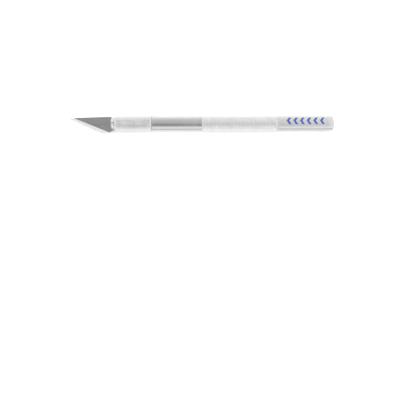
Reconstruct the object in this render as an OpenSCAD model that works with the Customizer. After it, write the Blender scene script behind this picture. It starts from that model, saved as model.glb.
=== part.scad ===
// Hobby craft knife: a turned handle, a twist chuck with four jaws, and a pointed blade.
//
// Frame, in millimetres. The knife lies along X, with the blade's tip at -X and the tail at +X.
// The blade is level, with its spine towards +Y and its cutting edge towards -Y. Z = 0 is the
// surface that the knife lies on, X = 0 is halfway along it, and Y = 0 is the handle's axis.
//
// How it works: the collet's threaded tail screws into the handle. Turning the sleeve, with the
// collet and the blade in it, draws the collet's flared nose into the sleeve's tapered mouth, and
// the four jaws close on the blade's tang.

/* [Handle] */
// Diameter of the smooth barrel, in front of the grip and behind it
barrel_d = 7.9; // [7.4:0.1:8.1]
// Diameter over the knurled grip and over the knurled sleeve
knurl_d = 8.4; // [8.4:0.1:9]
// Length of the smooth neck between the sleeve and the grip
neck_len = 27.2; // [16:0.1:40]
// Length of the knurled grip
grip_len = 41.6; // [20:0.1:60]
// Length of the smooth tail behind the grip
tail_len = 30.2; // [30:0.1:50]
// Height of the tail end's shallow dome
tail_crown = 0.5; // [0.2:0.1:1]
// Radius that rounds the tail end's corner
tail_corner = 0.8; // [0.4:0.1:1.4]

/* [Chuck] */
// Length of the knurled sleeve
sleeve_len = 20.05; // [18:0.05:24]
// How far the collet's nose stands out of the sleeve when the chuck is tight
nose_len = 2.2; // [1.8:0.1:3]
// Diameter of the collet's nose where it meets the sleeve
nose_d = 6.8; // [6.6:0.1:7]
// Radius that rounds the nose
nose_round = 1.4; // [0.8:0.1:1.6]
// Half angle of the taper that closes the jaws, in degrees
taper_angle = 10; // [8:0.5:12]
// Width of the saw cut that stands square to the blade
slit_w = 0.4; // [0.3:0.05:0.6]
// Diameter of the collet's threaded tail
thread_d = 5; // [4:0.5:5]

/* [Blade] */
// Length of blade that shows in front of the collet's nose
blade_reach = 23.5; // [22:0.5:26]
// Thickness of the blade
blade_t = 0.5; // [0.4:0.05:0.6]
// Width of the tang that the chuck holds
tang_w = 6; // [5.4:0.1:6]
// Length of tang inside the collet
tang_grip = 14.8; // [12:0.1:15]
// Angle between the cutting edge and the handle's axis, in degrees
edge_angle = 22.2; // [21:0.2:23]
// Width of the ground bevel along the edge, the same on both faces
bevel_w = 1.4; // [0.8:0.1:1.8]

/* [Printed mark] */
// Number of chevrons printed on the tail
chevron_count = 6; // [2:1:7]
// Distance from one chevron to the next
chevron_pitch = 3.6; // [2.8:0.1:3.6]
// Thickness of a chevron's stroke along the handle
chevron_stroke = 1.3; // [0.6:0.1:1.6]
// Height of a chevron across the handle
chevron_h = 3.8; // [2:0.1:4.4]

/* [Hidden] */

// Colours of the finishes
turned_grey = [0.86, 0.87, 0.88];
sleeve_grey = [0.8, 0.81, 0.83];
collet_grey = [0.78, 0.79, 0.8];
steel_grey = [0.55, 0.56, 0.58];
ink_blue = [0.13, 0.2, 0.6];

$fn = 64;
cut = 5;                // how far a cutter runs past what it cuts
arc_steps = 8;          // straight steps in a small rounded corner

// Radial and axial clearances between pieces that turn or slide on each other
run_gap = 0.04;         // threaded tail in the handle, and shank in the sleeve
taper_gap = 0.03;       // collet's taper in the sleeve's mouth, chuck tight
face_gap = 0.05;        // sleeve against the handle's shoulder
tang_gap = 0.02;        // blade in its slot, on each face
hinge_gap = 0.05;       // jaw against the shank that it flexes from
tang_end_gap = 0.5;     // tang's end to the bottom of its slot

// Stations along X, from the tip to the tail
length = blade_reach + nose_len + sleeve_len + face_gap + neck_len + grip_len + tail_len;
tip_x = -length / 2;
nose_x = tip_x + blade_reach;
mouth_x = nose_x + nose_len;
sleeve_back_x = mouth_x + sleeve_len;
handle_x = sleeve_back_x + face_gap;
grip_x = handle_x + neck_len;
grip_back_x = grip_x + grip_len;
tail_x = length / 2;
axis_z = knurl_d / 2;

// Collet
jaw_r = 2.85;                                     // jaws and shank behind the taper
jaw_root_x = nose_x + tang_grip + tang_end_gap;   // saw cuts end here
taper_len = (nose_d / 2 - jaw_r) / tan(taper_angle);
shank_inset = 1;                                  // shank's back face, inside the sleeve
shank_back_x = sleeve_back_x - shank_inset;
thread_len = 13;                                  // threaded tail, from the shank's back face
thread_chamfer = 0.5;
nose_lip = 0.1;                                   // step from the nose's curve to its taper
slot_h = blade_t + 2 * tang_gap;

// Sleeve
bore_r = 3.12;                                    // clears the tang's corners
guide_r = jaw_r + run_gap;                        // guides the shank at the back
guide_lead = 0.6;                                 // keeps the guide clear of the saw cuts
guide_x = jaw_root_x + guide_lead;
mouth_r = nose_d / 2 + taper_gap;
mouth_taper_len = (mouth_r - bore_r) / tan(taper_angle);
sleeve_corner = 0.45;
sleeve_chamfer = 0.3;

// Handle
shoulder_chamfer = 0.3;
tapped_r = thread_d / 2 + run_gap;
tap_runout = 1.5;                                 // hole past the end of the screw
tapped_depth = shank_back_x + thread_len + tap_runout - handle_x;
drill_angle = 118;                                // point angle of the drill
drill_point = tapped_r / tan(drill_angle / 2);
countersink = 0.3;
grip_step = (knurl_d - barrel_d) / 2;

// Printed mark
ink_t = 0.04;
mark_tilt = 14;                                   // turned from the top towards the spine
mark_inset = 4.2;                                 // grip to the front chevron's point
mark_x = grip_back_x + mark_inset;
chevron_sweep = 1.3;                              // how far its arms run back
coat_margin = 1;                                  // ink layer before the chevrons cut it

// Blade outline: Y offsets are from the handle's axis
spine_tip_y = 3;
spine_back_y = 3.8;
heel_y = -4.95;
heel_r = 7;                                       // large arc under the heel
heel_back_angle = 28;                             // where that arc gives way to the shoulder
heel_corner_r = 1.35;                             // between the edge and the heel
spine_corner_lead = 0.5;                          // spine's back corner, ahead of the nose
tang_top_inset = 1.9;                             // where the slope down to the tang ends
spine_back_x = nose_x - spine_corner_lead;
tang_top_x = nose_x + tang_top_inset;
heel_lead = 1.4;                                  // heel arc's lowest point, behind the edge's line
tang_corner = 0.5;
edge_land = 0.02;                                 // thickness left at the very edge
tang_hole_w = 2;
tang_hole_len = 6.2;
tang_hole_inset = 3.3;                            // from the tang's end

// Points on an arc about a centre, from one angle to another
function arc(centre, r, from, to, steps = arc_steps) =
    [for (i = [0 : steps]) let (a = from + (to - from) * i / steps)
        centre + r * [cos(a), sin(a)]];

// A solid turned about the handle's axis. Its outline is in [radius, X] pairs.
module turned(outline) {
    translate([0, 0, axis_z])
        rotate([0, 90, 0])
            rotate_extrude()
                polygon(outline);
}

// Handle -----------------------------------------------------------------

// The shallow dome is an arc whose radius follows from its height and width
crown_half = barrel_d / 2 - tail_corner;
crown_r = (pow(crown_half, 2) + pow(tail_crown, 2)) / (2 * tail_crown);
crown_angle = asin(crown_half / crown_r);

module handle_blank() {
    turned(concat(
        [
            [0, handle_x],
            [barrel_d / 2 - shoulder_chamfer, handle_x],
            [barrel_d / 2, handle_x + shoulder_chamfer],
        ],
        arc([barrel_d / 2, grip_x + grip_step], grip_step, -90, 0),
        arc([barrel_d / 2, grip_back_x - grip_step], grip_step, 0, 90),
        arc([crown_half, tail_x - tail_crown - tail_corner], tail_corner, 0, 90),
        arc([0, tail_x - crown_r], crown_r, 90 - crown_angle, 90)
    ));
}

module tapped_hole() {
    turned([
        [0, handle_x - cut],
        [tapped_r + countersink, handle_x - cut],
        [tapped_r + countersink, handle_x],
        [tapped_r, handle_x + countersink],
        [tapped_r, handle_x + tapped_depth],
        [0, handle_x + tapped_depth + drill_point],
    ]);
}

module handle_barrel() {
    color(turned_grey)
        difference() {
            handle_blank();
            tapped_hole();
        }
}

// Printed mark -----------------------------------------------------------

// One chevron with its point at X = 0, pointing to the blade
module chevron() {
    polygon([
        [0, 0],
        [chevron_sweep, chevron_h / 2],
        [chevron_sweep + chevron_stroke, chevron_h / 2],
        [chevron_stroke, 0],
        [chevron_sweep + chevron_stroke, -chevron_h / 2],
        [chevron_sweep, -chevron_h / 2],
    ]);
}

// A thin coat on the barrel, in the shape of the chevrons seen from above
module printed_mark() {
    mark_len = chevron_count * chevron_pitch;
    color(ink_blue)
        intersection() {
            turned([
                [barrel_d / 2, mark_x - coat_margin],
                [barrel_d / 2 + ink_t, mark_x - coat_margin],
                [barrel_d / 2 + ink_t, mark_x + mark_len],
                [barrel_d / 2, mark_x + mark_len],
            ]);
            translate([mark_x, 0, axis_z])
                rotate([-mark_tilt, 0, 0])
                    linear_extrude(knurl_d)
                        for (i = [0 : chevron_count - 1])
                            translate([i * chevron_pitch, 0])
                                chevron();
        }
}

// Sleeve -----------------------------------------------------------------

module chuck_sleeve() {
    color(sleeve_grey)
        turned(concat(
            [
                [bore_r, mouth_x + mouth_taper_len],
                [mouth_r, mouth_x],
            ],
            arc([knurl_d / 2 - sleeve_corner, mouth_x + sleeve_corner], sleeve_corner, -90, 0),
            [
                [knurl_d / 2, sleeve_back_x - sleeve_chamfer],
                [knurl_d / 2 - sleeve_chamfer, sleeve_back_x],
                [guide_r, sleeve_back_x],
                [guide_r, guide_x],
                [bore_r, guide_x],
            ]
        ));
}

// Collet -----------------------------------------------------------------

// The part of the collet behind the saw cuts, with the tail that screws into the handle
module collet_shank() {
    thread_end_x = shank_back_x + thread_len;
    color(collet_grey)
        turned([
            [0, jaw_root_x],
            [jaw_r, jaw_root_x],
            [jaw_r, shank_back_x],
            [thread_d / 2, shank_back_x],
            [thread_d / 2, thread_end_x - thread_chamfer],
            [thread_d / 2 - thread_chamfer, thread_end_x],
            [0, thread_end_x],
        ]);
}

// The four jaws before the saw cuts part them
module jaw_blank() {
    turned(concat(
        [[0, nose_x]],
        arc([nose_d / 2 - nose_lip - nose_round, nose_x + nose_round], nose_round, -90, 0),
        [
            [nose_d / 2, mouth_x],
            [jaw_r, mouth_x + taper_len],
            [jaw_r, jaw_root_x - hinge_gap],
            [0, jaw_root_x - hinge_gap],
        ]
    ));
}

// One jaw is a quarter of the blank, on the side that side_y and side_z (each 1 or -1) give
module collet_jaw(side_y, side_z) {
    quarter = knurl_d;
    color(collet_grey)
        intersection() {
            jaw_blank();
            translate([
                nose_x - cut,
                side_y > 0 ? slit_w / 2 : -slit_w / 2 - quarter,
                axis_z + (side_z > 0 ? slot_h / 2 : -slot_h / 2 - quarter),
            ])
                cube([tang_grip + 2 * cut, quarter, quarter]);
        }
}

// Blade ------------------------------------------------------------------

// The edge runs straight from the tip and is tangent to the heel's small corner, which is tangent
// in turn to the large arc under the heel
heel_centre_x = tip_x + (spine_tip_y - heel_y) / tan(edge_angle) + heel_lead;
heel_centre = [heel_centre_x, heel_y + heel_r];
corner_y = heel_y + heel_corner_r;
edge_corner_x = tip_x + (spine_tip_y - corner_y) / tan(edge_angle)
    + heel_corner_r / sin(edge_angle);
shoulder_start = heel_centre + heel_r * [sin(heel_back_angle), -cos(heel_back_angle)];
shoulder_end_x = shoulder_start[0] + (-tang_w / 2 - shoulder_start[1]) / tan(heel_back_angle);
tang_end_x = nose_x + tang_grip;

module blade_outline() {
    polygon(concat(
        [[tip_x, spine_tip_y]],
        arc([edge_corner_x, corner_y], heel_corner_r, -90 - edge_angle, -90),
        arc(heel_centre, heel_r, -90, -90 + heel_back_angle),
        [[shoulder_end_x, -tang_w / 2]],
        arc([tang_end_x - tang_corner, -tang_w / 2 + tang_corner], tang_corner, -90, 0),
        arc([tang_end_x - tang_corner, tang_w / 2 - tang_corner], tang_corner, 0, 90),
        [
            [tang_top_x, tang_w / 2],
            [spine_back_x, spine_back_y],
        ]
    ));
}

// The slot near the tang's end, with round ends
module tang_hole() {
    back = tang_end_x - tang_hole_inset - tang_hole_w / 2;
    front = back - tang_hole_len + tang_hole_w;
    for (x = [front, back])
        translate([x, 0])
            circle(d = tang_hole_w);
    translate([front, -tang_hole_w / 2])
        square([back - front, tang_hole_w]);
}

// What the grinding wheel takes off the upper face: a wedge along the edge
module bevel_cutter() {
    slope = (blade_t - edge_land) / 2 / bevel_w;
    run = 2 * blade_reach;              // well past the heel
    translate([tip_x, spine_tip_y])
        rotate(-edge_angle)
            translate([-cut, 0])
                rotate([90, 0, 90])
                    linear_extrude(run)
                        polygon([
                            [-cut, edge_land / 2 - slope * cut],
                            [bevel_w, blade_t / 2],
                            [bevel_w, cut],
                            [-cut, cut],
                        ]);
}

module blade() {
    color(steel_grey)
        translate([0, 0, axis_z])
            difference() {
                translate([0, 0, -blade_t / 2])
                    linear_extrude(blade_t)
                        difference() {
                            blade_outline();
                            tang_hole();
                        }
                bevel_cutter();
                mirror([0, 0, 1])
                    bevel_cutter();
            }
}

handle_barrel();
printed_mark();
chuck_sleeve();
collet_shank();
collet_jaw(1, 1);  // collet_jaw_1
collet_jaw(-1, 1);  // collet_jaw_2
collet_jaw(-1, -1);  // collet_jaw_3
collet_jaw(1, -1);  // collet_jaw_4
blade();
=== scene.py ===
import math

import bmesh
import bpy
import numpy as np
from mathutils import Matrix, Vector
from mathutils.geometry import tessellate_polygon


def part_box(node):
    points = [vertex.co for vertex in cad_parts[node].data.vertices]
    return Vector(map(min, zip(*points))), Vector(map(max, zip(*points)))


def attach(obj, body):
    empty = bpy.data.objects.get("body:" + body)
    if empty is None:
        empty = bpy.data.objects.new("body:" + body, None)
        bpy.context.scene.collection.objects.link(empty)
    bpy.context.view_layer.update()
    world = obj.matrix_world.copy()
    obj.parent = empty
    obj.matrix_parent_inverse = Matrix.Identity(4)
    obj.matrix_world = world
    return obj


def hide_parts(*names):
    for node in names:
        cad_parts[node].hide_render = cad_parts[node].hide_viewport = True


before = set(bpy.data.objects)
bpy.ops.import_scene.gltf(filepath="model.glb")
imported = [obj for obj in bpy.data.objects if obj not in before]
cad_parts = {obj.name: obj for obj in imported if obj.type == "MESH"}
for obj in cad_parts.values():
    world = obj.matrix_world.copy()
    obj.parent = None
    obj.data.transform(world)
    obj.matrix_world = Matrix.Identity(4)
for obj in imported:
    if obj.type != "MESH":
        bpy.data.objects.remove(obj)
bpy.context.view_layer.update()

# Lengths are in metres, along the frame's axes: X from the blade's tip to the tail, Y towards
# the blade's spine, Z up. Angles round the handle start at +Y and turn towards +Z.
MM = 0.001
TURN = 2 * math.pi

# ---------------------------------------------------------------- places, from the CAD nodes
handle_low, handle_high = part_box("handle_barrel")
sleeve_low, sleeve_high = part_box("chuck_sleeve")
shank_low, shank_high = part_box("collet_shank")
jaw_low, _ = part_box("collet_jaw_1")
blade_low, blade_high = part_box("blade")
mark_low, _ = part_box("printed_mark")

AXIS_Z = (handle_low.z + handle_high.z) / 2
TIP_X = blade_low.x
NOSE_X = jaw_low.x
MOUTH_X = sleeve_low.x
SLEEVE_BACK_X = sleeve_high.x
HANDLE_X = handle_low.x
TAIL_X = handle_high.x
JAW_ROOT_X = shank_low.x
THREAD_END_X = shank_high.x
KNURL_R = handle_high.y

# ---------------------------------------------------------------- sizes that boxes don't give
BARREL_R = 3.95 * MM
NECK_LEN = 27.2 * MM
GRIP_LEN = 41.6 * MM
SHOULDER_CHAMFER = 0.3 * MM
TAIL_CROWN = 0.5 * MM
TAIL_CORNER = 0.8 * MM

THREAD_R = 2.5 * MM
THREAD_PITCH = 0.8 * MM
THREAD_DEPTH = 0.49 * MM
THREAD_ROWS = 10            # mesh rows in one turn of the thread
THREAD_GAP = 0.04 * MM
THREAD_LEN = 13 * MM
THREAD_RELIEF = 0.8 * MM    # plain neck between the shank and the thread
THREAD_CHAMFER = 0.5 * MM
TAP_RUNOUT = 1.5 * MM
DRILL_POINT = 0.6           # height of the hole's pointed end, for a radius of 1
COUNTERSINK = 0.3 * MM

SHANK_INSET = 1 * MM        # from the sleeve's back face to the shank's
SHANK_EDGE = 0.1 * MM
JAW_R = 2.85 * MM
NOSE_R = 3.4 * MM
NOSE_ROUND = 1.4 * MM
NOSE_LIP = 0.1 * MM
TAPER = math.radians(10)
HINGE_GAP = 0.05 * MM
JAW_EDGE = 0.09 * MM
SLIT_W = 0.4 * MM
SLOT_H = 0.54 * MM

BORE_R = 3.12 * MM
GUIDE_R = 2.89 * MM
MOUTH_R = 3.43 * MM
SLEEVE_CORNER = 0.45 * MM
SLEEVE_CHAMFER = 0.3 * MM
SLEEVE_EDGE = 0.08 * MM     # eases the edges of the mouth and the back hole
GUIDE_LEAD = 0.6 * MM

SHANK_BACK_X = SLEEVE_BACK_X - SHANK_INSET
GRIP_X = HANDLE_X + NECK_LEN
GRIP_BACK_X = GRIP_X + GRIP_LEN


# ---------------------------------------------------------------- meshes
SHARP = math.radians(25)    # faces that meet at more than this angle are shaded as an edge
CORNER_STEPS = 8            # mesh rows round a small corner


def new_object(name, vertices, faces, body, sharp=SHARP):
    """A mesh object that rides on a body, shaded smooth except where faces meet sharply."""
    mesh = bpy.data.meshes.new(name)
    mesh.from_pydata([tuple(v) for v in vertices], [], [tuple(f) for f in faces])
    work = bmesh.new()
    work.from_mesh(mesh)
    bmesh.ops.recalc_face_normals(work, faces=work.faces)
    work.to_mesh(mesh)
    work.free()
    mesh.polygons.foreach_set("use_smooth", [True] * len(mesh.polygons))
    mesh.set_sharp_from_angle(angle=sharp)
    mesh.update()
    obj = bpy.data.objects.new(name, mesh)
    bpy.context.scene.collection.objects.link(obj)
    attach(obj, body)
    return obj


def angles_of(segments):
    return np.arange(segments) * TURN / segments


def smooth_step(t):
    t = min(max(t, 0.0), 1.0)
    return t * t * (3 - 2 * t)


def arc(centre_x, centre_r, radius, start, end, steps):
    """Outline points on an arc. Angles are in degrees: 0 points outward, 90 to the tail."""
    points = []
    for i in range(steps + 1):
        a = math.radians(start + (end - start) * i / steps)
        points.append((centre_x + radius * math.sin(a), centre_r + radius * math.cos(a)))
    return points


def turned(name, rows, segments, body, loop=False, knurl=None):
    """A piece turned about the handle's axis.

    rows are (x, radius) in order along the outline, with one radius or one for each segment.
    A radius of 0 ends the piece in a point. With loop, the last row joins the first. The cells
    of a knurl are cut into triangles along its grooves.
    """
    angles = angles_of(segments)
    middles = angles + TURN / segments / 2
    vertices = []
    starts = []
    for x, radius in rows:
        starts.append(len(vertices))
        if np.isscalar(radius) and radius == 0:
            vertices.append((x, 0.0, AXIS_Z))
            continue
        radii = np.broadcast_to(radius, segments)
        ys = radii * np.cos(angles)
        zs = AXIS_Z + radii * np.sin(angles)
        vertices.extend(zip([x] * segments, ys.tolist(), zs.tolist()))
    faces = []
    pairs = [(i, i + 1) for i in range(len(rows) - 1)]
    if loop:
        pairs.append((len(rows) - 1, 0))
    poles = [np.isscalar(r) and r == 0 for _, r in rows]
    for i, j in pairs:
        a0, b0 = starts[i], starts[j]
        middle_x = (rows[i][0] + rows[j][0]) / 2
        second = knurl.diagonal(middle_x, middles) if knurl else None
        for k in range(segments):
            n = (k + 1) % segments
            if poles[i]:
                faces.append((a0, b0 + k, b0 + n))
            elif poles[j]:
                faces.append((a0 + k, b0, a0 + n))
            elif second is None:
                faces.append((a0 + k, b0 + k, b0 + n, a0 + n))
            elif second[k]:
                faces.append((a0 + k, b0 + k, b0 + n))
                faces.append((a0 + k, b0 + n, a0 + n))
            else:
                faces.append((a0 + k, b0 + k, a0 + n))
                faces.append((b0 + k, b0 + n, a0 + n))
    return new_object(name, vertices, faces, body)


class Knurl:
    """A diamond knurl: two crossing families of grooves rolled into a round bar."""

    crest = 0.92            # the points are this much of their full height, so they are blunt
    bulge = 0.25            # how far the diamonds' faces bow out
    cells = 3               # mesh cells along each half diamond

    def __init__(self, around, repeat, start_x, end_x, root_r, top_r):
        self.around = around
        self.repeat = repeat
        self.start_x = start_x
        self.end_x = end_x
        self.root_r = root_r
        self.top_r = top_r
        self.segments = around * 2 * self.cells

    def grooves(self, x, angles):
        """How near each groove family's bottom is, from 0 midway between grooves to 1."""
        u = angles * self.around / TURN
        v = (x - self.start_x) / self.repeat
        first = np.abs((u + v) % 1 - 0.5) * 2
        second = np.abs((u - v) % 1 - 0.5) * 2
        return first, second

    def radius(self, x, angles):
        first, second = self.grooves(x, angles)
        height = np.minimum(1 - np.maximum(first, second), self.crest) / self.crest
        height = height * (1 + self.bulge - self.bulge * height)
        return self.root_r + (self.top_r - self.root_r) * height

    def diagonal(self, x, angles):
        """Which cells of a row are cut along their second diagonal; None outside the knurl."""
        if not self.start_x < x < self.end_x:
            return None
        first, second = self.grooves(x, angles)
        return second > first

    def stations(self):
        """Rows that fall on the knurl's own lattice, up to its end."""
        step = self.repeat / (2 * self.cells)
        count = int((self.end_x - self.start_x) / step)
        return [self.start_x + i * step for i in range(1, count + 1)]


def thread_depth(x, angles):
    """How far a right-hand metric thread is cut below its crest."""
    crest_flat = 1 / 8
    root_flat = 1 / 4
    turns = (x - THREAD_END_X) / THREAD_PITCH - angles / TURN
    away = np.abs((turns % 1) - 0.5) * 2
    flank = (away - crest_flat) / (1 - root_flat - crest_flat)
    return THREAD_DEPTH * np.clip(flank, 0, 1)


# ---------------------------------------------------------------- materials
def material(name):
    mat = bpy.data.materials.new(name)
    mat.use_nodes = True
    tree = mat.node_tree
    tree.nodes.clear()
    out = tree.nodes.new("ShaderNodeOutputMaterial")
    shader = tree.nodes.new("ShaderNodeBsdfPrincipled")
    tree.links.new(shader.outputs["BSDF"], out.inputs["Surface"])
    coords = tree.nodes.new("ShaderNodeTexCoord")
    return mat, tree, shader, coords.outputs["Object"]


def math_node(tree, operation, a, b=None):
    node = tree.nodes.new("ShaderNodeMath")
    node.operation = operation
    for socket, value in zip(node.inputs, (a, b)):
        if value is None:
            continue
        if isinstance(value, (int, float)):
            socket.default_value = value
        else:
            tree.links.new(value, socket)
    return node.outputs[0]


def map_range(tree, value, low, high, to_low, to_high, smooth=False):
    node = tree.nodes.new("ShaderNodeMapRange")
    node.interpolation_type = "SMOOTHSTEP" if smooth else "LINEAR"
    tree.links.new(value, node.inputs["Value"])
    node.inputs["From Min"].default_value = low
    node.inputs["From Max"].default_value = high
    node.inputs["To Min"].default_value = to_low
    node.inputs["To Max"].default_value = to_high
    return node.outputs["Result"]


def noise(tree, vector, size, detail=3.0, roughness=0.5):
    """Noise whose features are about size across, in metres."""
    node = tree.nodes.new("ShaderNodeTexNoise")
    tree.links.new(vector, node.inputs["Vector"])
    node.inputs["Scale"].default_value = 1 / size
    node.inputs["Detail"].default_value = detail
    node.inputs["Roughness"].default_value = roughness
    return node.outputs["Fac"]


def stretched(tree, vector, factors, turn=0.0):
    """The coordinates turned about Z and then scaled, so that noise on them is drawn out."""
    node = tree.nodes.new("ShaderNodeMapping")
    tree.links.new(vector, node.inputs["Vector"])
    node.inputs["Rotation"].default_value = (0, 0, turn)
    node.inputs["Scale"].default_value = factors
    return node.outputs["Vector"]


def lines(tree, distance, spacing, detail=2.0):
    """Parallel lines, uneven as a tool leaves them, at about spacing along a distance."""
    node = tree.nodes.new("ShaderNodeTexNoise")
    node.noise_dimensions = "1D"
    tree.links.new(distance, node.inputs["W"])
    node.inputs["Scale"].default_value = 1 / spacing
    node.inputs["Detail"].default_value = detail
    node.inputs["Roughness"].default_value = 0.6
    return node.outputs["Fac"]


def mixed(tree, factor, first, second):
    """The first colour where factor is 0, and the second where it is 1."""
    node = tree.nodes.new("ShaderNodeMix")
    node.data_type = "RGBA"
    tree.links.new(factor, node.inputs["Factor"])
    for socket, value in zip(("A", "B"), (first, second)):
        target = [s for s in node.inputs if s.name == socket and s.type == "RGBA"][0]
        if isinstance(value, tuple):
            target.default_value = value + (1,)
        else:
            tree.links.new(value, target)
    return [s for s in node.outputs if s.type == "RGBA"][0]


def grey(value):
    return (value, value, value)


def bump(tree, shader, height, distance, strength):
    node = tree.nodes.new("ShaderNodeBump")
    node.inputs["Strength"].default_value = strength
    node.inputs["Distance"].default_value = distance
    tree.links.new(height, node.inputs["Height"])
    tree.links.new(node.outputs["Normal"], shader.inputs["Normal"])


def axis_parts(tree, coords):
    """The distance along the handle, and the distance out from its axis."""
    split = tree.nodes.new("ShaderNodeSeparateXYZ")
    tree.links.new(coords, split.inputs[0])
    height = math_node(tree, "SUBTRACT", split.outputs["Z"], AXIS_Z)
    squares = math_node(
        tree, "ADD",
        math_node(tree, "MULTIPLY", split.outputs["Y"], split.outputs["Y"]),
        math_node(tree, "MULTIPLY", height, height),
    )
    return split.outputs["X"], math_node(tree, "SQRT", squares)


def along_axis_highlight(tree, shader, amount):
    """Lines that run round the bar spread a highlight along it."""
    tangent = tree.nodes.new("ShaderNodeTangent")
    tangent.direction_type = "RADIAL"
    tangent.axis = "X"
    tree.links.new(tangent.outputs["Tangent"], shader.inputs["Tangent"])
    shader.inputs["Anisotropic"].default_value = amount
    shader.inputs["Anisotropic Rotation"].default_value = 0.25


def turned_aluminium(name, tone, rough, tail_rough=None):
    """Bare aluminium off the lathe: fine lines round it, faint handling marks, light scratches."""
    fine_spacing = 0.09 * MM
    broad_spacing = 1.3 * MM
    smudge_size = 5 * MM
    scratch_size = 6 * MM
    line_depth = 0.002 * MM
    mat, tree, shader, coords = material(name)
    shader.inputs["Metallic"].default_value = 1.0
    along, out = axis_parts(tree, coords)
    # along the walls and across the end faces the tool's path gives even rings
    path = math_node(tree, "ADD", along, out)
    fine = lines(tree, path, fine_spacing)
    broad = lines(tree, path, broad_spacing, detail=1.0)
    smudges = noise(tree, coords, smudge_size, detail=4)
    drawn = stretched(tree, coords, (1, 9, 9))
    scratches = noise(tree, drawn, scratch_size, detail=6, roughness=0.7)
    scratched = map_range(tree, scratches, 0.66, 0.72, 0, 1)
    shade = math_node(
        tree, "ADD",
        map_range(tree, fine, 0.3, 0.7, 0.0, 0.6),
        map_range(tree, broad, 0.3, 0.7, 0.0, 0.4),
    )
    metal = mixed(tree, shade, grey(tone * 0.92), grey(tone))
    metal = mixed(tree, scratched, metal, grey(min(1.0, tone * 1.05)))
    tree.links.new(metal, shader.inputs["Base Color"])
    dull = map_range(tree, smudges, 0.35, 0.7, rough * 0.88, rough * 1.15)
    if tail_rough is not None:
        duller = tail_rough - rough
        tail = map_range(tree, along, GRIP_X, GRIP_BACK_X, 0.0, duller, smooth=True)
        dull = math_node(tree, "ADD", dull, tail)
    dull = math_node(tree, "ADD", dull, map_range(tree, fine, 0.3, 0.7, -0.015, 0.03))
    dull = math_node(tree, "ADD", dull, math_node(tree, "MULTIPLY", scratched, 0.08))
    tree.links.new(dull, shader.inputs["Roughness"])
    along_axis_highlight(tree, shader, 0.55)
    height = math_node(tree, "SUBTRACT", fine, math_node(tree, "MULTIPLY", scratched, 0.5))
    bump(tree, shader, height, line_depth, 0.5)
    return mat


def knurled_aluminium(name, rough, root_r, top_r, least_groove_shade_and_dirt):
    """Rolled diamonds: dull grooves darkened by painted shade and patchy dirt, and points that
    handling has polished.
    """
    grain_size = 0.08 * MM
    grain_depth = 0.004 * MM
    patch_size = 3.5 * MM
    depth = top_r - root_r
    mat, tree, shader, coords = material(name)
    shader.inputs["Metallic"].default_value = 1.0
    _, out = axis_parts(tree, coords)
    worn = map_range(tree, out, root_r + depth * 0.55, top_r, 0, 1, smooth=True)
    deep = map_range(tree, out, root_r, root_r + depth * 0.45, 1, 0, smooth=True)
    grain = noise(tree, coords, grain_size)
    patches = noise(tree, coords, patch_size)
    # painted shade: the grooves are darkened by their depth towards grey 0.55, unevenly in patches
    # like dirt
    groove_shade_and_dirt = math_node(tree, "MULTIPLY", deep, map_range(tree, patches, 0.3, 0.75, least_groove_shade_and_dirt, 1.0))
    metal = mixed(tree, grain, grey(0.94), grey(1.0))
    metal = mixed(tree, worn, metal, grey(1.0))
    metal = mixed(tree, groove_shade_and_dirt, metal, grey(0.55))
    tree.links.new(metal, shader.inputs["Base Color"])
    uneven = map_range(tree, patches, 0.3, 0.7, rough * 0.92, rough * 1.1)
    polished = math_node(tree, "MULTIPLY", worn, rough * 0.3)
    tree.links.new(math_node(tree, "SUBTRACT", uneven, polished), shader.inputs["Roughness"])
    bump(tree, shader, grain, grain_depth, 0.6)
    return mat


def blade_steel(name, tone, metallic, rough, heading, spacing, depth, spread, stain):
    """Hard blade strip: lines that run along heading (degrees from X), faint oil stains."""
    wide_spacing = spacing * 14
    stain_size = 4 * MM
    mat, tree, shader, coords = material(name)
    shader.inputs["Metallic"].default_value = metallic
    drawn = stretched(tree, coords, (0.06, 1, 1), -math.radians(heading))
    streaks = noise(tree, drawn, spacing, detail=5, roughness=0.65)
    wide = noise(tree, drawn, wide_spacing)
    stains = noise(tree, coords, stain_size, detail=4, roughness=0.6)
    shade = math_node(
        tree, "ADD",
        map_range(tree, streaks, 0.3, 0.7, 0, 0.55),
        map_range(tree, wide, 0.3, 0.7, 0, 0.45),
    )
    metal = mixed(tree, shade, grey(tone * 0.9), grey(tone * 1.04))
    stained = map_range(tree, stains, 0.5, 0.72, 0, stain)
    metal = mixed(tree, stained, metal, grey(tone * 0.78))
    tree.links.new(metal, shader.inputs["Base Color"])
    dull = map_range(tree, stains, 0.3, 0.7, rough * 0.9, rough * 1.12)
    dull = math_node(tree, "ADD", dull, map_range(tree, streaks, 0.3, 0.7, -0.03, 0.04))
    tree.links.new(dull, shader.inputs["Roughness"])
    shader.inputs["Anisotropic"].default_value = spread
    bump(tree, shader, streaks, depth, 0.6)
    return mat


def print_ink(name, colour):
    """Pad-printed ink: even, slightly glossy, with the pinholes and thin spots of a print."""
    mottle_size = 0.45 * MM
    mottle_depth = 0.004 * MM
    pinhole_size = 0.12 * MM
    darker = tuple(c * 0.86 for c in colour)
    lighter = tuple(min(1.0, c * 1.1 + 0.006) for c in colour)
    pale = tuple(0.6 * c + 0.22 for c in colour)
    mat, tree, shader, coords = material(name)
    mottled = noise(tree, coords, mottle_size, detail=4)
    pinholes = noise(tree, coords, pinhole_size, detail=2)
    thin = map_range(tree, pinholes, 0.68, 0.76, 0, 0.7)
    ink = mixed(tree, map_range(tree, mottled, 0.3, 0.7, 0, 1), darker, lighter)
    tree.links.new(mixed(tree, thin, ink, pale), shader.inputs["Base Color"])
    tree.links.new(map_range(tree, mottled, 0.3, 0.7, 0.34, 0.46), shader.inputs["Roughness"])
    shader.inputs["Coat Weight"].default_value = 0.15
    shader.inputs["Coat Roughness"].default_value = 0.25
    bump(tree, shader, mottled, mottle_depth, 0.5)
    return mat


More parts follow.
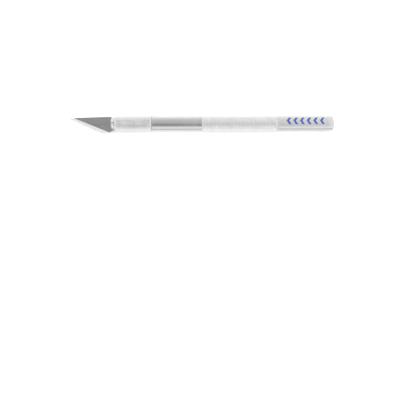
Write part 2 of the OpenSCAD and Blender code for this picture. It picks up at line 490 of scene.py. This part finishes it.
# ---------------------------------------------------------------- handle
GRIP_AROUND = 32
GRIP_REPEAT = 1.43 * MM
GRIP_ROOT_R = 3.88 * MM
GRIP_LEAD_IN = 0.8 * MM     # over which the band swells from the barrel
GRIP_RUN_OUT = 1.7 * MM
BAND_EDGE = 0.04 * MM       # keeps the smooth bar's shading clear of the band's
PLAIN_ROWS = 12             # mesh rows along the neck, and along the tail

grip = Knurl(GRIP_AROUND, GRIP_REPEAT, GRIP_X, GRIP_BACK_X, GRIP_ROOT_R, KNURL_R)


def grip_row(x, angles):
    """The band's radii: it swells out of the barrel, and back into it at the tail."""
    full = smooth_step((x - GRIP_X) / GRIP_LEAD_IN)
    full *= smooth_step((GRIP_BACK_X - x) / GRIP_RUN_OUT)
    return BARREL_R + (grip.radius(x, angles) - BARREL_R) * full


def build_handle():
    segments = grip.segments
    angles = angles_of(segments)
    # the tapped hole, from its bottom out to the handle's front face
    tap_r = THREAD_R + THREAD_GAP
    tap_end = SHANK_BACK_X + THREAD_LEN + TAP_RUNOUT
    tap_mouth = HANDLE_X + COUNTERSINK
    rows = [(tap_end + DRILL_POINT * tap_r, 0)]
    step = THREAD_PITCH / THREAD_ROWS
    count = int((tap_end - tap_mouth) / step)
    for i in range(count + 1):
        x = tap_end - i * step
        runout = smooth_step((tap_end - x) / (2 * THREAD_PITCH))
        lead = smooth_step((x - tap_mouth) / THREAD_PITCH)
        # the hole's thread is the screw's, moved out by the gap between them
        cut = thread_depth(x, angles) * min(lead, runout)
        rows.append((x, tap_r - cut))
    rows.append((tap_mouth, tap_r))
    rows.append((HANDLE_X, tap_r + COUNTERSINK))
    # the neck, the band and the tail
    neck_start = HANDLE_X + SHOULDER_CHAMFER
    neck_end = GRIP_X - BAND_EDGE
    rows.append((HANDLE_X, BARREL_R - SHOULDER_CHAMFER))
    for i in range(PLAIN_ROWS + 1):
        rows.append((neck_start + (neck_end - neck_start) * i / PLAIN_ROWS, BARREL_R))
    rows.append((GRIP_X, BARREL_R))
    for x in grip.stations():
        rows.append((x, grip_row(x, angles)))
    rows.append((GRIP_BACK_X, BARREL_R))
    tail_start = GRIP_BACK_X + BAND_EDGE
    tail_end = TAIL_X - TAIL_CROWN - TAIL_CORNER
    for i in range(PLAIN_ROWS):
        rows.append((tail_start + (tail_end - tail_start) * i / PLAIN_ROWS, BARREL_R))
    # the tail's rounded corner and shallow dome
    crown_half = BARREL_R - TAIL_CORNER
    crown_r = (crown_half ** 2 + TAIL_CROWN ** 2) / (2 * TAIL_CROWN)
    crown_angle = math.degrees(math.asin(crown_half / crown_r))
    rows += arc(tail_end, crown_half, TAIL_CORNER, 0, 90, CORNER_STEPS)
    rows += arc(TAIL_X - crown_r, 0, crown_r, 90 - crown_angle, 90, CORNER_STEPS)[1:-1]
    rows.append((TAIL_X, 0))
    obj = turned("handle_body", rows, segments, "handle", knurl=grip)
    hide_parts("handle_barrel")
    obj.data.materials.append(HANDLE_FINISH)
    obj.data.materials.append(GRIP_FINISH)
    corners = obj.data.vertices
    for face in obj.data.polygons:
        xs = [corners[i].co.x for i in face.vertices]
        if GRIP_X < (min(xs) + max(xs)) / 2 < GRIP_BACK_X:
            face.material_index = 1


# ---------------------------------------------------------------- sleeve
SLEEVE_AROUND = 40
SLEEVE_REPEAT = 1.14 * MM
SLEEVE_ROOT_R = 3.88 * MM
SLEEVE_FADE = 0.25 * MM     # over which the knurl gets its depth, from the smooth ends
sleeve_knurl = Knurl(
    SLEEVE_AROUND,
    SLEEVE_REPEAT,
    MOUTH_X + SLEEVE_CORNER,
    SLEEVE_BACK_X - SLEEVE_CHAMFER,
    SLEEVE_ROOT_R,
    KNURL_R,
)


def sleeve_row(x, angles):
    """The sleeve's radii: the knurl starts and ends at the smooth rims."""
    full = smooth_step((x - sleeve_knurl.start_x) / SLEEVE_FADE)
    full *= smooth_step((sleeve_knurl.end_x - x) / SLEEVE_FADE)
    return KNURL_R - (KNURL_R - sleeve_knurl.radius(x, angles)) * full


def build_sleeve():
    segments = sleeve_knurl.segments
    angles = angles_of(segments)
    taper_len = (MOUTH_R - BORE_R) / math.tan(TAPER)
    guide_x = JAW_ROOT_X + GUIDE_LEAD
    rows = [
        (MOUTH_X + taper_len, BORE_R),
        (MOUTH_X + SLEEVE_EDGE, MOUTH_R),
        (MOUTH_X, MOUTH_R + SLEEVE_EDGE),
    ]
    rows += arc(
        sleeve_knurl.start_x, KNURL_R - SLEEVE_CORNER, SLEEVE_CORNER, -90, 0, CORNER_STEPS
    )
    for x in sleeve_knurl.stations():
        rows.append((x, sleeve_row(x, angles)))
    rows += [
        (sleeve_knurl.end_x, KNURL_R),
        (SLEEVE_BACK_X, KNURL_R - SLEEVE_CHAMFER),
        (SLEEVE_BACK_X, GUIDE_R + SLEEVE_EDGE),
        (SLEEVE_BACK_X - SLEEVE_EDGE, GUIDE_R),
        (guide_x, GUIDE_R),
        (guide_x, BORE_R),
    ]
    obj = turned("sleeve_body", rows, segments, "sleeve", loop=True, knurl=sleeve_knurl)
    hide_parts("chuck_sleeve")
    obj.data.materials.append(SLEEVE_FINISH)
    obj.data.materials.append(SLEEVE_BORE)
    for face in obj.data.polygons:
        out = math.hypot(face.center.y, face.center.z - AXIS_Z)
        if out < MOUTH_R + SLEEVE_EDGE:
            face.material_index = 1


# ---------------------------------------------------------------- collet
def build_shank():
    """The shank, and behind a short neck the threaded tail."""
    segments = 96
    angles = angles_of(segments)
    root_r = THREAD_R - THREAD_DEPTH
    thread_x = SHANK_BACK_X + THREAD_RELIEF
    rows = [
        (JAW_ROOT_X, 0),
        (JAW_ROOT_X, JAW_R - SHANK_EDGE),
        (JAW_ROOT_X + SHANK_EDGE, JAW_R),
        (SHANK_BACK_X - SHANK_EDGE, JAW_R),
        (SHANK_BACK_X, JAW_R - SHANK_EDGE),
        (SHANK_BACK_X, root_r),
        (thread_x, root_r),
    ]
    step = THREAD_PITCH / THREAD_ROWS
    count = int((THREAD_LEN - THREAD_RELIEF) / step)
    for i in range(1, count + 1):
        x = thread_x + i * step
        lead = min(1.0, (x - thread_x) / (THREAD_PITCH / 2))
        crest = THREAD_R - max(0.0, x - (THREAD_END_X - THREAD_CHAMFER))
        full = THREAD_R - thread_depth(x, angles)
        full = root_r + (full - root_r) * lead
        rows.append((min(x, THREAD_END_X), np.minimum(full, crest)))
    rows.append((THREAD_END_X, THREAD_R - THREAD_CHAMFER))
    rows.append((THREAD_END_X, 0))
    obj = turned("collet_tail", rows, segments, "collet")
    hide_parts("collet_shank")
    obj.data.materials.append(COLLET_FINISH)


def build_jaw(number, side_y, side_z):
    """A quarter of the split nose, lofted along the axis, with its edges eased."""
    taper_len = (NOSE_R - JAW_R) / math.tan(TAPER)
    round_steps = 10
    steps = 24                  # mesh columns across the jaw's round side
    round_r = NOSE_R - NOSE_LIP - NOSE_ROUND
    outline = arc(NOSE_X + NOSE_ROUND, round_r, NOSE_ROUND, -90, 0, round_steps)
    outline += [
        (MOUTH_X, NOSE_R),
        (MOUTH_X + taper_len, JAW_R),
        (JAW_ROOT_X - HINGE_GAP, JAW_R),
    ]
    inner_y = SLIT_W / 2
    inner_z = SLOT_H / 2
    vertices = []
    per_row = steps + 2
    for x, r in outline:
        low = math.asin(inner_z / r)
        high = math.acos(inner_y / r)
        vertices.append((x, side_y * inner_y, AXIS_Z + side_z * inner_z))
        for i in range(steps + 1):
            a = low + (high - low) * i / steps
            vertices.append((x, side_y * r * math.cos(a), AXIS_Z + side_z * r * math.sin(a)))
    faces = []
    rows = len(outline)
    for j in range(rows - 1):
        for i in range(per_row):
            n = (i + 1) % per_row
            a, b = j * per_row, (j + 1) * per_row
            faces.append((a + i, b + i, b + n, a + n))
    faces.append(tuple(range(per_row)))
    faces.append(tuple(range((rows - 1) * per_row, rows * per_row)))
    obj = new_object(f"jaw_{number}_body", vertices, faces, f"jaw_{number}")
    ease = obj.modifiers.new("eased_edges", "BEVEL")
    ease.width = JAW_EDGE
    ease.segments = 2
    ease.limit_method = "ANGLE"
    ease.angle_limit = math.radians(50)
    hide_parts(f"collet_jaw_{number}")
    obj.data.materials.append(COLLET_FINISH)


# ---------------------------------------------------------------- blade
BLADE_T = 0.5 * MM
EDGE_ANGLE = math.radians(22.2)
BEVEL_W = 1.4 * MM
HONED_W = 0.3 * MM
HONED_T = 0.15 * MM         # thickness where the honed edge meets the ground bevel
EDGE_T = 0.02 * MM
TANG_HALF = 3 * MM
SPINE_TIP_Y = 3 * MM
SPINE_BACK_Y = blade_high.y
SPINE_CORNER_LEAD = 0.5 * MM    # the spine's back corner, ahead of the nose
TANG_TOP_INSET = 1.9 * MM   # where the slope from the spine down to the tang ends
HEEL_Y = blade_low.y
HEEL_R = 7 * MM
HEEL_LEAD = 1.4 * MM        # the heel arc's lowest point, behind the edge's line
HEEL_BACK = math.radians(28)
CORNER_R = 1.35 * MM
TANG_CORNER = 0.5 * MM
HOLE_LEN = 6.2 * MM
HOLE_W = 2 * MM
HOLE_INSET = 3.3 * MM

# The blade's material slots: rolled flat, ground bevel, honed edge
FLAT, BEVEL, EDGE = range(3)


def blade_arc(centre, radius, start, end, steps):
    """Points on an arc in the blade's plane, from one angle in radians to another."""
    points = []
    for i in range(steps + 1):
        a = start + (end - start) * i / steps
        points.append((centre[0] + radius * math.cos(a), centre[1] + radius * math.sin(a)))
    return points


def blade_outline():
    """The blade's outline from the tip, along the edge, round the heel and tang to the spine."""
    quarter = math.pi / 2
    heel_steps = 10
    tang_steps = 6
    corner_y = HEEL_Y + CORNER_R
    corner_x = TIP_X + (SPINE_TIP_Y - corner_y) / math.tan(EDGE_ANGLE)
    corner_x += CORNER_R / math.sin(EDGE_ANGLE)
    heel_x = TIP_X + (SPINE_TIP_Y - HEEL_Y) / math.tan(EDGE_ANGLE) + HEEL_LEAD
    start_x = heel_x + HEEL_R * math.sin(HEEL_BACK)
    start_y = HEEL_Y + HEEL_R - HEEL_R * math.cos(HEEL_BACK)
    shoulder_x = start_x + (-TANG_HALF - start_y) / math.tan(HEEL_BACK)
    end_x = blade_high.x - TANG_CORNER
    side = TANG_HALF - TANG_CORNER
    points = [(TIP_X, SPINE_TIP_Y)]
    points += blade_arc(
        (corner_x, corner_y), CORNER_R, -quarter - EDGE_ANGLE, -quarter, heel_steps
    )
    points += blade_arc(
        (heel_x, HEEL_Y + HEEL_R), HEEL_R, -quarter, -quarter + HEEL_BACK, heel_steps
    )
    points.append((shoulder_x, -TANG_HALF))
    points += blade_arc((end_x, -side), TANG_CORNER, -quarter, 0, tang_steps)
    points += blade_arc((end_x, side), TANG_CORNER, 0, quarter, tang_steps)
    points.append((NOSE_X + TANG_TOP_INSET, TANG_HALF))
    points.append((NOSE_X - SPINE_CORNER_LEAD, SPINE_BACK_Y))
    return points


def edge_distance(point):
    """How far a point of the blade's plane is from the line of the cutting edge."""
    along_x, along_y = point[0] - TIP_X, point[1] - SPINE_TIP_Y
    return along_x * math.sin(EDGE_ANGLE) + along_y * math.cos(EDGE_ANGLE)


def half_thickness(point):
    away = edge_distance(point)
    if away <= HONED_W:
        return (EDGE_T + (HONED_T - EDGE_T) * max(away, 0) / HONED_W) / 2
    if away <= BEVEL_W:
        share = (away - HONED_W) / (BEVEL_W - HONED_W)
        return (HONED_T + (BLADE_T - HONED_T) * share) / 2
    return BLADE_T / 2


def split_at(points, limit):
    """The outline with a point added wherever it crosses a line beside the edge."""
    out = []
    for i, p in enumerate(points):
        q = points[(i + 1) % len(points)]
        out.append(p)
        dp, dq = edge_distance(p) - limit, edge_distance(q) - limit
        if dp * dq < 0:
            t = dp / (dp - dq)
            out.append((p[0] + (q[0] - p[0]) * t, p[1] + (q[1] - p[1]) * t))
    return out


def build_blade():
    """Flat strip, ground on both faces along the edge, then honed to a narrower facet."""
    tiny = 1e-9
    past = 1.0                  # beyond any point of the blade
    outline = split_at(split_at(blade_outline(), BEVEL_W), HONED_W)
    quarter = math.pi / 2
    hole_steps = 12
    hole_r = HOLE_W / 2
    back = blade_high.x - HOLE_INSET - hole_r
    front = back - HOLE_LEN + HOLE_W
    hole = blade_arc((back, 0), hole_r, quarter, -quarter, hole_steps)
    hole += blade_arc((front, 0), hole_r, -quarter, -3 * quarter, hole_steps)
    points = outline + hole
    vertices = [(p[0], p[1], AXIS_Z + half_thickness(p)) for p in points]
    vertices += [(p[0], p[1], AXIS_Z - half_thickness(p)) for p in points]
    under = len(points)
    faces = []
    kinds = []
    # each band of the two faces, between two distances from the edge
    bands = ((BEVEL_W, past, FLAT), (HONED_W, BEVEL_W, BEVEL), (-past, HONED_W, EDGE))
    for low, high, kind in bands:
        ring = [
            i for i, p in enumerate(outline)
            if low - tiny <= edge_distance(p) <= high + tiny
        ]
        if kind == FLAT:
            loops = [
                [Vector((points[i][0], points[i][1], 0)) for i in ring],
                [Vector((p[0], p[1], 0)) for p in hole],
            ]
            index = ring + list(range(len(outline), len(points)))
            new = [tuple(index[k] for k in tri) for tri in tessellate_polygon(loops)]
        else:
            new = [tuple(ring)]
        for face in new:
            faces.append(face)
            faces.append(tuple(i + under for i in reversed(face)))
            kinds += [kind, kind]
    # the narrow walls round the outline and round the hole
    for first, count in ((0, len(outline)), (len(outline), len(hole))):
        for k in range(count):
            i, j = first + k, first + (k + 1) % count
            faces.append((i, j, j + under, i + under))
            away = max(edge_distance(points[i]), edge_distance(points[j]))
            if away < HONED_W:
                kinds.append(EDGE)
            elif away <= BEVEL_W + tiny:
                kinds.append(BEVEL)
            else:
                kinds.append(FLAT)
    obj = new_object("blade_body", vertices, faces, "blade", sharp=math.radians(3))
    for mat in (BLADE_FINISH, BLADE_GROUND, BLADE_HONED):
        obj.data.materials.append(mat)
    for face, kind in zip(obj.data.polygons, kinds):
        face.material_index = kind
    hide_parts("blade")


# ---------------------------------------------------------------- printed mark
CHEVRONS = 6
CHEVRON_PITCH = 3.6 * MM
CHEVRON_STROKE = 1.3 * MM
CHEVRON_H = 3.8 * MM
CHEVRON_SWEEP = 1.3 * MM
MARK_TILT = math.radians(14)    # from straight up, towards the blade's spine side
INK_TOP_R = 3.985 * MM
INK_FOOT_R = 3.94 * MM


def build_mark():
    """Each chevron is a thin coat of ink that follows the barrel."""
    steps = 12
    vertices = []
    faces = []
    for number in range(CHEVRONS):
        point_x = mark_low.x + number * CHEVRON_PITCH
        first = len(vertices)
        for i in range(-steps, steps + 1):
            across = CHEVRON_H / 2 * i / steps
            front = point_x + CHEVRON_SWEEP * abs(i) / steps
            for r, x in (
                (INK_FOOT_R, front),
                (INK_TOP_R, front),
                (INK_TOP_R, front + CHEVRON_STROKE),
                (INK_FOOT_R, front + CHEVRON_STROKE),
            ):
                a = math.asin(across / BARREL_R) + MARK_TILT
                vertices.append((x, r * math.sin(a), AXIS_Z + r * math.cos(a)))
        count = 2 * steps + 1
        for i in range(count - 1):
            a, b = first + 4 * i, first + 4 * (i + 1)
            for k in range(4):
                n = (k + 1) % 4
                faces.append((a + k, b + k, b + n, a + n))
        faces.append((first, first + 1, first + 2, first + 3))
        last = first + 4 * (count - 1)
        faces.append((last, last + 1, last + 2, last + 3))
    obj = new_object("mark_print", vertices, faces, "handle")
    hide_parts("printed_mark")
    obj.data.materials.append(INK)


# ---------------------------------------------------------------- build
HANDLE_FINISH = turned_aluminium("handle_turned", tone=0.88, rough=0.17, tail_rough=0.24)
GRIP_FINISH = knurled_aluminium("grip_knurled", 0.28, GRIP_ROOT_R, KNURL_R, least_groove_shade_and_dirt=0.6)
SLEEVE_FINISH = knurled_aluminium(
    "sleeve_knurled", 0.22, SLEEVE_ROOT_R, KNURL_R, least_groove_shade_and_dirt=0.35
)
SLEEVE_BORE = turned_aluminium("sleeve_bored", tone=0.85, rough=0.35)
COLLET_FINISH = turned_aluminium("collet_turned", tone=0.92, rough=0.22)
BLADE_FINISH = blade_steel(
    "blade_rolled", tone=0.48, metallic=1.0, rough=0.26, heading=0,
    spacing=0.07 * MM, depth=0.0008 * MM, spread=0.3, stain=0.35,
)
# the wheel's lines run nearly square to the edge
# painted highlight: the ground bevel and honed edge get tones of 1.0 and 0.95 against the rolled
# flat's 0.48, on top of their own finish
BLADE_GROUND = blade_steel(
    "blade_ground", tone=1.0, metallic=0.94, rough=0.42, heading=68,
    spacing=0.045 * MM, depth=0.002 * MM, spread=0.5, stain=0.1,
)
BLADE_HONED = blade_steel(
    "blade_honed", tone=0.95, metallic=1.0, rough=0.25, heading=68,
    spacing=0.03 * MM, depth=0.001 * MM, spread=0.3, stain=0.05,
)
INK = print_ink("mark_ink", (0.02, 0.05, 0.26))

build_handle()
build_mark()
build_sleeve()
build_shank()
for jaw_number, jaw_y, jaw_z in ((1, 1, 1), (2, -1, 1), (3, -1, -1), (4, 1, -1)):
    build_jaw(jaw_number, jaw_y, jaw_z)
build_blade()

# ---------------------------------------------------------------- floor and light
FLOOR_HALF = 4.0
PAPER_DARK = 0.88
PAPER_LIGHT = 0.9
# Only reflected rays see the next two tones: a painted reflection, where the floor is drawn darker
# in the metal and carries a dark strip that lays a dark line along the knife, while the camera
# sees plain paper
FLOOR_MIRRORED = 0.54       # the floor's tone where the metal mirrors it
REFLECTED_STRIP_TONE = 0.32            # and that of a dark strip in front of the knife
REFLECTED_STRIP_NEAR = -14 * MM
REFLECTED_STRIP_FAR = -68 * MM
REFLECTED_STRIP_SOFT = 4 * MM

# The world's light: degrees from straight up, towards +Y, and how bright it is there
CEILING = (
    (-180, 0.75), (-100, 0.78), (-75, 0.78), (-58, 0.60), (-43, 0.16), (-22, 0.20),
    (-4, 0.30), (14, 0.42), (32, 0.44), (50, 0.50), (68, 0.62), (90, 0.70), (118, 0.75),
    (180, 0.75),
)
WORLD_STRENGTH = 1.08

# Soft boxes hang to either side of the ceiling. Their places are the X part of a direction,
# as (where it begins, where it is full).
RIGHT_BOX = (0.01, 0.13)
LEFT_BOX = (-0.15, -0.24)
BOX_TONE = 0.82
BOX_BRIGHT = (0.3, 0.45)    # each box is brighter from here outward
BOX_BRIGHT_TONE = 1.08
BOX_END = (0.5, 0.8)        # and darker again near the ends of the knife's axis
BOX_END_TONE = 0.6


def build_floor():
    mesh = bpy.data.meshes.new("floor")
    h = FLOOR_HALF
    mesh.from_pydata([(-h, -h, 0), (h, -h, 0), (h, h, 0), (-h, h, 0)], [], [(0, 1, 2, 3)])
    floor = bpy.data.objects.new("floor", mesh)
    bpy.context.scene.collection.objects.link(floor)
    mat, tree, shader, coords = material("pale_paper")
    grain = noise(tree, coords, 0.5 * MM)
    paper = mixed(tree, grain, grey(PAPER_DARK), grey(PAPER_LIGHT))
    split = tree.nodes.new("ShaderNodeSeparateXYZ")
    tree.links.new(coords, split.inputs[0])
    across = split.outputs["Y"]
    near = map_range(tree, across, REFLECTED_STRIP_NEAR + REFLECTED_STRIP_SOFT, REFLECTED_STRIP_NEAR, 0, 1, smooth=True)
    far = map_range(tree, across, REFLECTED_STRIP_FAR - REFLECTED_STRIP_SOFT, REFLECTED_STRIP_FAR, 0, 1, smooth=True)
    reflected_strip = math_node(tree, "MULTIPLY", near, far)
    # painted reflection: the floor's colour for reflected rays only, darker and with the dark
    # strip
    mirrored = mixed(tree, reflected_strip, grey(FLOOR_MIRRORED), grey(REFLECTED_STRIP_TONE))
    path = tree.nodes.new("ShaderNodeLightPath")
    colour = mixed(tree, path.outputs["Is Glossy Ray"], paper, mirrored)
    tree.links.new(colour, shader.inputs["Base Color"])
    shader.inputs["Roughness"].default_value = 0.9
    shader.inputs["Specular IOR Level"].default_value = 0.1
    mesh.materials.append(mat)


def build_world():
    """A soft studio: a darker ceiling over the camera, and bright soft boxes beside it."""
    world = bpy.data.worlds.new("studio")
    bpy.context.scene.world = world
    world.use_nodes = True
    tree = world.node_tree
    tree.nodes.clear()
    out = tree.nodes.new("ShaderNodeOutputWorld")
    light = tree.nodes.new("ShaderNodeBackground")
    tree.links.new(light.outputs[0], out.inputs["Surface"])
    coords = tree.nodes.new("ShaderNodeTexCoord")
    split = tree.nodes.new("ShaderNodeSeparateXYZ")
    tree.links.new(coords.outputs["Generated"], split.inputs[0])
    angle = math_node(tree, "ARCTAN2", split.outputs["Y"], split.outputs["Z"])
    place = map_range(tree, angle, -math.pi, math.pi, 0, 1)
    ramp = tree.nodes.new("ShaderNodeValToRGB")
    tree.links.new(place, ramp.inputs["Fac"])
    marks = ramp.color_ramp.elements
    while len(marks) < len(CEILING):
        marks.new(0.5)
    for mark, (degrees, tone) in zip(marks, CEILING):
        mark.position = (degrees + 180) / 360
        mark.color = (tone, tone, tone, 1)
    side = split.outputs["X"]
    right = map_range(tree, side, *RIGHT_BOX, 0, 1, smooth=True)
    left = map_range(tree, side, *LEFT_BOX, 0, 1, smooth=True)
    past = math_node(tree, "MAXIMUM", left, right)
    aside = math_node(tree, "ABSOLUTE", side)
    bright = map_range(tree, aside, *BOX_BRIGHT, 0, 1, smooth=True)
    end = map_range(tree, aside, *BOX_END, 0, 1, smooth=True)
    box = mixed(tree, bright, grey(BOX_TONE), grey(BOX_BRIGHT_TONE))
    box = mixed(tree, end, box, grey(BOX_END_TONE))
    tree.links.new(mixed(tree, past, ramp.outputs["Color"], box), light.inputs["Color"])
    light.inputs["Strength"].default_value = WORLD_STRENGTH


def build_lamp(name, place, size, power):
    """A round lamp that shines on the origin and shows in no reflection."""
    data = bpy.data.lights.new(name, "AREA")
    data.shape = "DISK"
    data.size = size
    data.energy = power
    lamp = bpy.data.objects.new(name, data)
    lamp.location = place
    lamp.rotation_euler = Vector(place).to_track_quat("Z", "Y").to_euler()
    lamp.visible_glossy = False
    bpy.context.scene.collection.objects.link(lamp)


def build_camera():
    """The camera looks down on a point in front of the knife, leaning a little towards it."""
    aim = Vector((-0.44 * MM, -41.3 * MM, 0))
    distance = 600 * MM
    lean = math.radians(4.5)
    field = 217.5 * MM
    roll = math.radians(0.13)
    data = bpy.data.cameras.new("camera")
    data.sensor_width = 36
    data.lens = data.sensor_width * distance / field
    camera = bpy.data.objects.new("camera", data)
    back = Vector((0, -math.sin(lean), math.cos(lean)))
    camera.location = aim + back * distance
    turn = Matrix.Rotation(-roll, 4, back)
    look = (-back).to_track_quat("-Z", "Y").to_matrix().to_4x4()
    camera.rotation_euler = (turn @ look).to_euler()
    bpy.context.scene.collection.objects.link(camera)
    bpy.context.scene.camera = camera


build_floor()
build_world()
build_lamp("overhead", place=(0.0, 0.1, 1.8), size=3.0, power=53)
build_camera()
bpy.context.scene.view_settings.view_transform = "Standard"
